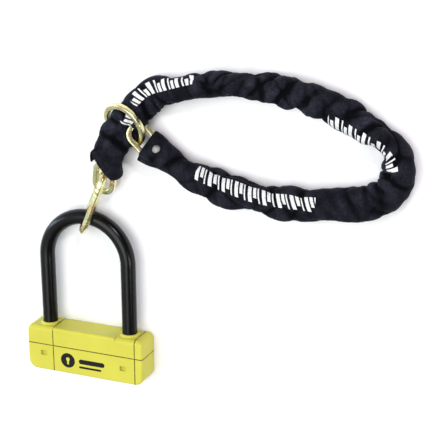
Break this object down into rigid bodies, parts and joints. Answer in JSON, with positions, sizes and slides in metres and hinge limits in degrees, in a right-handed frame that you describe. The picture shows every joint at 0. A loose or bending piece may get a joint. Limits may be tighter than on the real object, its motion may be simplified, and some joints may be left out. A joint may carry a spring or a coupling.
{
  "type": "bicycle u lock with noose chain",
  "caption": "Shackle lock with a plastic-covered crossbar, carrying a chain in a fabric sleeve that is looped into a noose by a ring.",
  "frame": {"origin": "centre of the crossbar's back face, which lies on the floor", "axes": "+Y from the crossbar towards the bow, +Z out of the front face, +X along the crossbar to the right seen from the front"},
  "size_m": [0.4636, 0.3849, 0.0411],
  "materials": {
    "cover_plastic": "satin yellow moulded plastic",
    "shackle_vinyl": "satin black coat",
    "hardened_steel": "machined",
    "spring_steel": "drawn wire",
    "lock_brass": "machined",
    "zinc_steel": "yellow passivated zinc",
    "sleeve_fabric": "woven polyester",
    "rivet_metal": "pressed",
    "shutter_plastic": "moulded"
  },
  "bodies": {
    "crossbar": {"bolt_bushes": "hardened_steel", "centre_lower_cover": "cover_plastic", "centre_upper_cover": "cover_plastic", "channel_plugs": "hardened_steel", "crossbar_case": "hardened_steel", "cylinder_housing": "lock_brass", "drill_plate": "hardened_steel", "left_bolt_spring": "spring_steel", "left_leg_collar": "cover_plastic", "left_lower_cover": "cover_plastic", "left_upper_cover": "cover_plastic", "right_bolt_spring": "spring_steel", "right_leg_collar": "cover_plastic", "right_lower_cover": "cover_plastic", "right_upper_cover": "cover_plastic", "sidebar": "hardened_steel"},
    "plug": {"key_plug": "lock_brass", "lock_discs": "lock_brass", "plug_clip": "spring_steel", "bolt_cam": "hardened_steel"},
    "left_bolt_body": {"left_bolt": "hardened_steel"},
    "right_bolt_body": {"right_bolt": "hardened_steel"},
    "shutter": {"keyhole_shutter": "shutter_plastic"},
    "shackle": {"shackle_bar": "hardened_steel", "shackle_coat": "shackle_vinyl"},
    "link": {"long_link": "zinc_steel"},
    "chain": {"chain_sleeve": "sleeve_fabric", "noose_link": "zinc_steel", "tail_link": "zinc_steel", "sleeve_rivet": "rivet_metal", "rivet_washer": "rivet_metal", "chain_link_01": "zinc_steel", "chain_link_02": "zinc_steel", "chain_link_03": "zinc_steel", "chain_link_04": "zinc_steel", "chain_link_05": "zinc_steel", "chain_link_06": "zinc_steel", "chain_link_07": "zinc_steel", "chain_link_08": "zinc_steel", "chain_link_09": "zinc_steel", "chain_link_10": "zinc_steel", "chain_link_11": "zinc_steel", "chain_link_12": "zinc_steel", "chain_link_13": "zinc_steel", "chain_link_14": "zinc_steel", "chain_link_15": "zinc_steel", "chain_link_16": "zinc_steel", "chain_link_17": "zinc_steel", "chain_link_18": "zinc_steel", "chain_link_19": "zinc_steel", "chain_link_20": "zinc_steel", "chain_link_21": "zinc_steel", "chain_link_22": "zinc_steel", "chain_link_23": "zinc_steel", "chain_link_24": "zinc_steel", "chain_link_25": "zinc_steel", "chain_link_26": "zinc_steel", "chain_link_27": "zinc_steel"},
    "ring": {"noose_ring": "zinc_steel"}
  },
  "joints": [
    {"name": "plug_turn", "type": "hinge", "parent": "crossbar", "child": "plug", "pos_m": [0, 0, 0.017], "axis": [0, 1, 0], "range_deg": [0, 90]},
    {"name": "left_bolt_slide", "type": "slide", "parent": "crossbar", "child": "left_bolt_body", "axis": [-1, 0, 0], "range_m": [0, 0.0045]},
    {"name": "right_bolt_slide", "type": "slide", "parent": "crossbar", "child": "right_bolt_body", "axis": [1, 0, 0], "range_m": [0, 0.0045]},
    {"name": "shutter_slide", "type": "slide", "parent": "crossbar", "child": "shutter", "axis": [1, 0, 0], "range_m": [0, 0.016]},
    {"name": "shackle_pull", "type": "slide", "parent": "crossbar", "child": "shackle", "axis": [0, 1, 0], "range_m": [0, 0.05]},
    {"name": "link_round_bow", "type": "hinge", "parent": "shackle", "child": "link", "pos_m": [0, 0.1155, 0.017], "axis": [0, 0, 1], "range_deg": [-40, 40]},
    {"name": "chain_swing", "type": "hinge", "parent": "link", "child": "chain", "pos_m": [0.0268, 0.2251, 0.017], "axis": [0, 0, 1], "range_deg": [-12, 12]},
    {"name": "ring_turn", "type": "hinge", "parent": "chain", "child": "ring", "pos_m": [0.057, 0.2845, 0.0234], "axis": [-0.2863, -0.3817, 0.8788], "range_deg": [-60, 60]}
  ],
  "couplings": [
    {"joint": "plug_turn", "follows": "left_bolt_slide", "rad_per_m": 349},
    {"joint": "right_bolt_slide", "follows": "left_bolt_slide", "ratio": 1}
  ]
}
